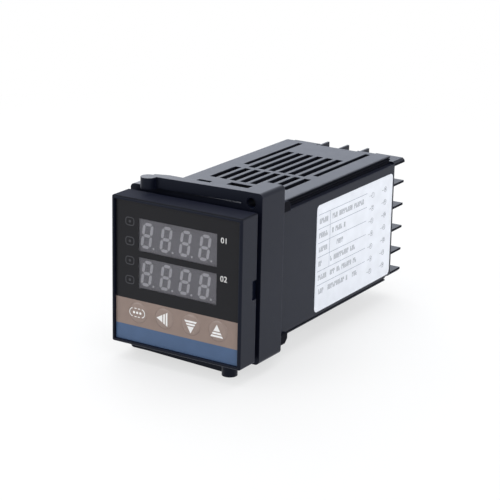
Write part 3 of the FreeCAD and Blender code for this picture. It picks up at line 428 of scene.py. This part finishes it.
LABEL_INK = printed("label_ink", srgb(58, 62, 74), 0.5)
LABEL_RULE = printed("label_rule", srgb(138, 144, 162), 0.5)


def paint_nodes():
    """Give every node of the frame the finish of its material slot."""
    for subpart in frame["record"]["subparts"]:
        finish = FINISHES[subpart["material_slot"]]
        node = frame["nodes"][subpart["node"]]
        if not node.material_slots:
            node.data.materials.append(finish.material)
        for place in node.material_slots:
            place.material = finish.material


def evaluated_mesh(curve):
    """Mesh of a curve or text; the object that carries it goes again."""
    holder = bpy.data.objects.new(curve.name, curve)
    bpy.context.scene.collection.objects.link(holder)
    bpy.context.view_layer.update()
    graph = bpy.context.evaluated_depsgraph_get()
    mesh = bpy.data.meshes.new_from_object(holder.evaluated_get(graph))
    bpy.data.objects.remove(holder)
    return mesh


def plate(loops, low, high):
    """Flat plate whose outlines and holes are loops of points, between two heights."""
    curve = bpy.data.curves.new("plate", "CURVE")
    curve.dimensions = "2D"
    curve.fill_mode = "BOTH"
    curve.extrude = (high - low) / 2
    for loop in loops:
        spline = curve.splines.new("POLY")
        spline.points.add(len(loop) - 1)
        for point, (across, up) in zip(spline.points, loop):
            point.co = (across, up, 0, 1)
        spline.use_cyclic_u = True
    mesh = evaluated_mesh(curve)
    bpy.data.curves.remove(curve)
    mesh.transform(Matrix.Translation((0, 0, (low + high) / 2)))
    return mesh


def figures(text, height, middle, low, high):
    """Plain figures of a height about their middle, between two heights over a face."""
    curve = bpy.data.curves.new("figures", "FONT")
    curve.body = text
    curve.size = height / CAPITAL_SHARE
    curve.align_x, curve.align_y = "CENTER", "CENTER"
    curve.resolution_u = 3
    curve.extrude = (high - low) / 2
    mesh = evaluated_mesh(curve)
    bpy.data.curves.remove(curve)
    mesh.transform(Matrix.Translation((*middle, (low + high) / 2)))
    return mesh


def box_loop(left, low, right, high):
    """Rectangle."""
    return [(left, low), (right, low), (right, high), (left, high)]


def arc(middle, radius, start, end, steps):
    """Points along an arc, angles in degrees."""
    angles = (math.radians(start + (end - start) * k / steps) for k in range(steps + 1))
    return [(middle[0] + radius * math.cos(a), middle[1] + radius * math.sin(a)) for a in angles]


def ring_loop(middle, radius, steps=48):
    """Circle."""
    return arc(middle, radius, 0, 360, steps)[:-1]


def round_loop(left, low, right, high, radius, steps=6):
    """Rectangle with round corners."""
    corners = (((right - radius, low + radius), -90), ((right - radius, high - radius), 0),
               ((left + radius, high - radius), 90), ((left + radius, low + radius), 180))
    return [point for middle, start in corners
            for point in arc(middle, radius, start, start + 90, steps)]


def moved(loop, across, up):
    """Loop shifted across and up."""
    return [(x + across, y + up) for x, y in loop]


def lathe(profile, middle, steps=72):
    """Solid turned about the way out of a face.

    The profile is (radius, height) points, the first and the last on the axis.
    """
    work = bmesh.new()
    rings = []
    for radius, height in profile:
        if radius == 0:
            rings.append([work.verts.new((middle[0], middle[1], height))])
        else:
            rings.append([work.verts.new((x, y, height))
                          for x, y in ring_loop(middle, radius, steps)])
    for lower, upper in zip(rings, rings[1:]):
        for k in range(steps):
            after = (k + 1) % steps
            if len(lower) == 1:
                corners = (lower[0], upper[after], upper[k])
            elif len(upper) == 1:
                corners = (lower[k], lower[after], upper[0])
            else:
                corners = (lower[k], lower[after], upper[after], upper[k])
            work.faces.new(corners)
    bmesh.ops.recalc_face_normals(work, faces=work.faces)
    mesh = bpy.data.meshes.new("lathe")
    work.to_mesh(mesh)
    work.free()
    return mesh


class Piece:
    """One visible piece on a face, gathered from meshes that each have their own finish."""

    def __init__(self, name, face):
        self.name, self.face = name, face
        self.work = bmesh.new()
        self.finishes = []

    def add(self, mesh, finish):
        """Lay a mesh on the face in a finish, and drop the mesh."""
        mesh.transform(self.face)
        if finish not in self.finishes:
            self.finishes.append(finish)
        count = len(self.work.faces)
        self.work.from_mesh(mesh)
        self.work.faces.ensure_lookup_table()
        for face in self.work.faces[count:]:
            face.material_index = self.finishes.index(finish)
        bpy.data.meshes.remove(mesh)

    def place(self, body, slot, *nodes, smooth=None):
        """Put the piece in the scene on its body; smooth is the widest angle shaded as round."""
        mesh = bpy.data.meshes.new(self.name)
        bmesh.ops.remove_doubles(self.work, verts=self.work.verts, dist=SAME_PLACE)
        self.work.to_mesh(mesh)
        self.work.free()
        for finish in self.finishes:
            mesh.materials.append(finish.material)
        if smooth is not None:
            mesh.shade_smooth()
            mesh.set_sharp_from_angle(angle=math.radians(smooth))
        piece = bpy.data.objects.new(self.name, mesh)
        bpy.context.scene.collection.objects.link(piece)
        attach(piece, body)
        if nodes:
            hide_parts(*nodes)


def front_film():
    """Printed film: black field with two clear windows, brown key band and bare blue strip."""
    low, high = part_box("front_film")
    half = high.x / MM
    back, front = -high.y / MM, -low.y / MM
    piece = Piece("film_sheet", FRONT_MM)
    windows = [box_loop(WINDOW_LEFT, bottom, WINDOW_RIGHT, top) for bottom, top in WINDOWS]
    piece.add(plate([box_loop(-half, BAND_TOP, half, half)] + windows, back, front),
              FINISHES["film_print"])
    holes = [ring_loop(key_middle(key), KEY_RADIUS + KEY_GAP) for key in KEYS]
    piece.add(plate([box_loop(-half, BAND_LOW, half, BAND_TOP)] + holes, back, front), BAND_BROWN)
    piece.add(plate([box_loop(-half, -half, half, BAND_LOW)], back, front), BAND_BLUE)
    for window in windows:
        piece.add(plate([window], front - WINDOW_DEPTH, front - PRINT), WINDOW)
    piece.place("chassis", "film_print", "front_film")


def front_print():
    """Marks printed on the film: lamp rings and plain numbers for the two rows of digits."""
    front = -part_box("front_film")[0].y / MM
    piece = Piece("film_marks", FRONT_MM)
    wide, high = MARK_WIDE / 2, MARK_HIGH / 2
    for k in range(MARK_COUNT):
        outer = round_loop(-wide, -high, wide, high, MARK_ROUND)
        inner = round_loop(-wide + MARK_LINE, -high + MARK_LINE, wide - MARK_LINE,
                           high - MARK_LINE, MARK_ROUND - MARK_LINE)
        up = MARK_TOP - k * MARK_PITCH
        piece.add(plate([moved(outer, MARK_ACROSS, up), moved(inner, MARK_ACROSS, up)],
                        front, front + PRINT), MARK_INK)
        dot = ring_loop((MARK_ACROSS, up), MARK_DOT, steps=16)
        piece.add(plate([dot], front, front + PRINT), MARK_INK)
    for text, up in NUMBERS:
        piece.add(figures(text, NUMBER_HEIGHT, (NUMBER_ACROSS, up), front, front + PRINT), WHITE_INK)
    piece.place("chassis", "film_print")


def key_middle(key):
    """Middle of a key on the front."""
    low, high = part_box(key)
    return (low.x + high.x) / 2 / MM, (low.z + high.z) / 2 / MM


def sign(turn):
    """Triangle with two bars behind it, turned from its apex up."""
    matrix = Matrix.Rotation(turn, 2)
    loops = []
    for start, end in SIGN_CUTS:
        points = []
        for share, side in ((start, -1), (start, 1), (end, 1), (end, -1)):
            points.append((side * share * SIGN_BASE / 2, SIGN_HEIGHT * (0.5 - share)))
        if start == 0:
            points = points[1:]
        loops.append([tuple(matrix @ Vector(point)) for point in points])
    return loops


def set_mark():
    """Three dots in a broken oval, the sign of the first key."""
    loops = [ring_loop((across, 0), OVAL_DOT_RADIUS, steps=16) for across in OVAL_DOTS]
    for side, start in ((1, -OVAL_ARC / 2), (-1, 180 - OVAL_ARC / 2)):
        middle, end = (side * OVAL_APART, 0), start + OVAL_ARC
        outer = arc(middle, OVAL_RADIUS, start, end, OVAL_STEPS)
        inner = arc(middle, OVAL_RADIUS - OVAL_LINE, end, start, OVAL_STEPS)
        loops.append(outer + inner)
    half = OVAL_LINE / 2
    for up in (OVAL_RADIUS - half, -OVAL_RADIUS + half):
        for across in OVAL_DASHES:
            loops.append(box_loop(across, up - half, across + OVAL_DASH_LENGTH, up + half))
    return loops


def key_caps():
    """Domed keys with a soft shoulder and their signs in white."""
    for key in KEYS:
        low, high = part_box(key)
        middle = key_middle(key)
        crown, back = -low.y / MM + KEY_RAISE, -high.y / MM
        ledge = back + KEY_FLANGE_THICK
        profile = [(0, back), (KEY_FLANGE, back), (KEY_FLANGE, ledge), (KEY_RADIUS, ledge)]
        shares = (1 - (step / KEY_STEPS) ** KEY_CROWDING for step in range(KEY_STEPS))
        profile += [(KEY_RADIUS * share, crown - KEY_DOME * share ** KEY_POWER) for share in shares]
        profile += [(0, crown)]
        piece = Piece(key + "_cap", FRONT_MM)
        piece.add(lathe(profile, middle), FINISHES["key_film"])
        spot = (middle[0] + SIGN_OFFSETS[key][0], middle[1] + SIGN_OFFSETS[key][1])
        loops = sign(SIGN_TURNS[key]) if key in SIGN_TURNS else set_mark()
        for loop in loops:
            piece.add(plate([moved(loop, *spot)], crown - SIGN_SINK, crown + PRINT / 2), WHITE_INK)
        piece.place(key, "key_film", key, smooth=30)


def segment_loops():
    """The seven bars of one digit about its middle, slanted."""
    wide, high, line, gap = DIGIT_HALF_WIDE, DIGIT_HALF_HIGH, DIGIT_LINE / 2, DIGIT_GAP
    loops = []
    for up in (high, 0, -high):
        start, end = -wide + gap, wide - gap
        loops.append([(start, up), (start + line, up - line), (end - line, up - line), (end, up),
                      (end - line, up + line), (start + line, up + line)])
    for across in (-wide, wide):
        for middle in (high / 2, -high / 2):
            start, end = middle - high / 2 + gap, middle + high / 2 - gap
            loops.append([(across, start), (across + line, start + line),
                          (across + line, end - line), (across, end), (across - line, end - line),
                          (across - line, start + line)])
    return [[(x + y * DIGIT_SLANT, y) for x, y in loop] for loop in loops]


def digit_rows():
    """Two digit blocks: dark body, grey face and pale slanted bars with points."""
    for name in ("display_module_upper", "display_module_lower"):
        low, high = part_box(name)
        left, right, bottom, top = (v / MM for v in (low.x, high.x, low.z, high.z))
        back, face = -high.y / MM, -low.y / MM
        middle = (bottom + top) / 2 - DIGIT_DROP
        outline = round_loop(left, bottom, right, top, DISPLAY_ROUND, steps=3)
        ledge = face - DISPLAY_FACE_THICK
        piece = Piece(name + "_dressed", FRONT_MM)
        piece.add(plate([outline], back, ledge), DIGIT_BODY)
        piece.add(plate([outline], ledge, face - PRINT), FINISHES["display_face"])
        for k in range(DIGIT_COUNT):
            across = DIGIT_FIRST + k * DIGIT_PITCH
            for loop in segment_loops():
                piece.add(plate([moved(loop, across, middle)], face - PRINT, face), DIGIT_SEGMENT)
            point = ring_loop((across + POINT_ACROSS, middle - DIGIT_HALF_HIGH - POINT_DROP),
                              POINT_RADIUS, steps=20)
            piece.add(plate([point], face - PRINT, face), DIGIT_SEGMENT)
        piece.place("chassis", "display_face", name)


def print_strokes(start, end, up, pattern):
    """Row of plain upright strokes that stands for a line of print."""
    loops = []
    across, step = start, 0
    low, high = up - PRINT_HEIGHT / 2, up + PRINT_HEIGHT / 2
    while across + PRINT_WIDE < end:
        kind = pattern[step % len(pattern)]
        right = across + PRINT_WIDE
        if kind:
            start_up, end_up = ((low, high), (low, up), (up, high), (low, high))[kind - 1]
            loops.append(box_loop(across, low, across + PRINT_STROKE, high))
            loops.append(box_loop(right - PRINT_STROKE, start_up, right, end_up))
        across = right + PRINT_SPACE
        step += 1
    return loops


def label_print():
    """Table lines, strokes for print and numbered rings on the side label."""
    low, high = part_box("side_label")
    left, top, skin = low.y / MM, high.z / MM, high.x / MM
    heights = (skin, skin + PRINT)
    rules = Piece("label_rules", RIGHT_MM)
    rows = [top - LABEL_ROW_FIRST - k * LABEL_ROW_PITCH for k in range(LABEL_ROWS)]
    for up in rows:
        rules.add(plate([box_loop(left + LABEL_MARGIN, up, left + LABEL_TABLE_END, up + LABEL_LINE)],
                        *heights), LABEL_RULE)
    split = left + LABEL_SPLIT
    rules.add(plate([box_loop(split, rows[LABEL_SPLIT_ROW], split + LABEL_LINE, rows[0])], *heights),
              LABEL_RULE)
    rules.place("case", "label_sheet")
    ink = Piece("label_marks", RIGHT_MM)
    for start, end, row, pattern in LABEL_LINES:
        up = rows[row] - LABEL_ROW_PITCH / 2 + LABEL_LINE
        for loop in print_strokes(left + start, left + end, up, pattern):
            ink.add(plate([loop], *heights), LABEL_INK)
    for number in range(1, RING_COUNT + 1):
        column, row = divmod(number - 1, RING_ROWS)
        middle = (left + RING_COLUMNS[column], top - RING_FIRST - row * RING_PITCH)
        ring = [ring_loop(middle, radius, steps=24)
                for radius in (RING_RADIUS, RING_RADIUS - PRINT_STROKE / 2)]
        ink.add(plate(ring, *heights), LABEL_INK)
        ink.add(figures(str(number), RING_RADIUS, middle, *heights), LABEL_INK)
        stub = box_loop(middle[0] - RING_RADIUS - RING_STUB, middle[1] - PRINT_STROKE / 4,
                        middle[0] - RING_RADIUS, middle[1] + PRINT_STROKE / 4)
        ink.add(plate([stub], *heights), LABEL_INK)
    ink.place("case", "label_sheet")


def lead_spots(name, columns, rows):
    """Places under a part where its leads come through the board: columns of (along, up)."""
    low, high = (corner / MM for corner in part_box(name))

    def spread(count, start, end):
        """Even places between two ends, or the middle for one."""
        inset = min(LEAD_INSET, (end - start) / 2)
        step = (end - start - 2 * inset) / max(count - 1, 1)
        return [(start + end) / 2 if count == 1 else start + inset + k * step for k in range(count)]

    return [[(along, up) for up in spread(rows, low.z, high.z)]
            for along in spread(columns, low.y, high.y)]


def track(points, wide):
    """Outline of a conductor along a line of points, with mitred corners."""
    sides = ([], [])
    for k, point in enumerate(points):
        ways = [(Vector(points[j + 1]) - Vector(points[j])).normalized()
                for j in (k - 1, k) if 0 <= j < len(points) - 1]
        middle = sum(ways, Vector((0, 0))).normalized()
        reach = wide / 2 / max(middle.dot(ways[0]), TRACK_MITRE)
        normal = Vector((-middle.y, middle.x)) * reach
        sides[0].append(tuple(Vector(point) + normal))
        sides[1].append(tuple(Vector(point) - normal))
    return sides[0] + sides[1][::-1]


def joined(start, end, bend):
    """Route between two places: straight, then a slant at 45 degrees, then straight."""
    rise = end[1] - start[1]
    if abs(rise) < TRACK_LEVEL:
        return [start, end]
    turn = min(max(bend, start[0] + TRACK_END), end[0] - abs(rise) - TRACK_END)
    return [start, (turn, start[1]), (turn + abs(rise), end[1]), end]


def board_sides():
    """Solder joints and conductors on the outer faces of the two long boards."""
    for name, side, face, parts in BOARDS:
        low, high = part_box(name)
        skin = (high.x if side > 0 else -low.x) / MM
        piece = Piece(name + "_tracks", face)
        groups = [lead_spots(*part) for part in parts]
        for group in groups:
            for spot in (spot for column in group for spot in column):
                middle = (spot[0] * side, spot[1])
                profile = [(radius, skin + height) for radius, height in JOINT_PROFILE]
                piece.add(lathe(profile, middle, steps=12), SOLDER)
        for one, other in zip(groups, groups[1:]):
            for k, (start, end) in enumerate(zip(one[-1], other[0])):
                if end[0] - start[0] > abs(end[1] - start[1]) + TRACK_ROOM:
                    bend = start[0] + TRACK_BEND + TRACK_BEND_STEP * k
                    loop = [(along * side, up)
                            for along, up in track(joined(start, end, bend), TRACK_WIDE)]
                    piece.add(plate([loop], skin, skin + TRACK_HIGH), TRACK)
        piece.place("chassis", "circuit_board")


def camera():
    """Camera at the photo's viewing angle."""
    turn, rise = CAMERA_AZIMUTH, CAMERA_ELEVATION
    back = Vector((math.sin(turn) * math.cos(rise), -math.cos(turn) * math.cos(rise),
                   math.sin(rise)))
    right = Vector((math.cos(turn), math.sin(turn), 0))
    up = back.cross(right)
    leaned_right = math.cos(CAMERA_ROLL) * right + math.sin(CAMERA_ROLL) * up
    leaned_up = back.cross(leaned_right)
    lens = bpy.data.cameras.new("camera")
    lens.lens, lens.sensor_width, lens.clip_start = CAMERA_LENS, CAMERA_SENSOR, CAMERA_NEAR
    body = bpy.data.objects.new("camera", lens)
    body.matrix_world = Matrix.Translation(CAMERA_TARGET + back * CAMERA_DISTANCE) @ Matrix(
        (leaned_right, leaned_up, back)).transposed().to_4x4()
    bpy.context.scene.collection.objects.link(body)
    bpy.context.scene.camera = body


def lamp(name, place, side, power, colour):
    """Square soft light aimed at the middle of the object."""
    light = bpy.data.lights.new(name, "AREA")
    light.size, light.energy, light.color = side, power, colour
    holder = bpy.data.objects.new(name, light)
    holder.location = place
    aim = STUDIO_MIDDLE - holder.location
    holder.rotation_euler = aim.to_track_quat("-Z", "Y").to_euler()
    holder.visible_camera = False
    bpy.context.scene.collection.objects.link(holder)


def seen_rays(nodes, links):
    """One for rays from the camera, in gloss or through glass, otherwise none."""
    path = nodes.new("ShaderNodeLightPath")
    total = path.outputs["Is Camera Ray"]
    for name in ("Is Glossy Ray", "Is Transmission Ray"):
        either = nodes.new("ShaderNodeMath")
        either.operation = "MAXIMUM"
        links.new(total, either.inputs[0])
        links.new(path.outputs[name], either.inputs[1])
        total = either.outputs[0]
    return total


def studio():
    """White surroundings, soft lights and a pale floor."""
    scene = bpy.context.scene
    scene.view_settings.view_transform = "Standard"
    world = bpy.data.worlds.new("studio")
    world.use_nodes = True
    scene.world = world
    nodes, links = world.node_tree.nodes, world.node_tree.links
    dim = nodes["Background"]
    dim.inputs["Color"].default_value = WORLD_COLOUR
    dim.inputs["Strength"].default_value = WORLD_STRENGTH
    white = nodes.new("ShaderNodeBackground")
    white.inputs["Color"].default_value = (1, 1, 1, 1)
    mix = nodes.new("ShaderNodeMixShader")
    links.new(seen_rays(nodes, links), mix.inputs[0])
    links.new(dim.outputs[0], mix.inputs[1])
    links.new(white.outputs[0], mix.inputs[2])
    links.new(mix.outputs[0], nodes["World Output"].inputs["Surface"])
    for values in LAMPS:
        lamp(*values)
    floor(cad_box[0][2])


def floor(height):
    """Round pale floor that fades to the white background away from the object."""
    mesh = plate([ring_loop((0, 0), FLOOR_RADIUS, steps=96)], -FLOOR_THICK, 0)
    mesh.transform(Matrix.Translation((STUDIO_MIDDLE.x, STUDIO_MIDDLE.y, height)))
    finish = Finish("floor", FLOOR_COLOUR, 0.7, Specular_IOR_Level=0.2).mottled(0.2, share=0.01)
    reach = finish.node("ShaderNodeVectorMath", Vector=finish.place)
    reach.operation = "LENGTH"
    share = finish.node("ShaderNodeMapRange", Value=reach.outputs["Value"], From_Min=FLOOR_FADE[0],
                        From_Max=FLOOR_FADE[1], To_Min=FLOOR_GLOW[0], To_Max=FLOOR_GLOW[1])
    share.interpolation_type = "SMOOTHSTEP"
    glow_share = finish.maths("MULTIPLY", share.outputs["Result"],
                              seen_rays(finish.nodes, finish.links))
    glow = finish.node("ShaderNodeEmission", Color=(1, 1, 1, 1))
    mix = finish.nodes.new("ShaderNodeMixShader")
    finish.links.new(glow_share, mix.inputs[0])
    finish.links.new(finish.shader.outputs[0], mix.inputs[1])
    finish.links.new(glow.outputs[0], mix.inputs[2])
    finish.links.new(mix.outputs[0], finish.nodes["Material Output"].inputs["Surface"])
    mesh.materials.append(finish.material)
    ground = bpy.data.objects.new("floor", mesh)
    bpy.context.scene.collection.objects.link(ground)


paint_nodes()
front_film()
front_print()
key_caps()
digit_rows()
label_print()
board_sides()
camera()
studio()
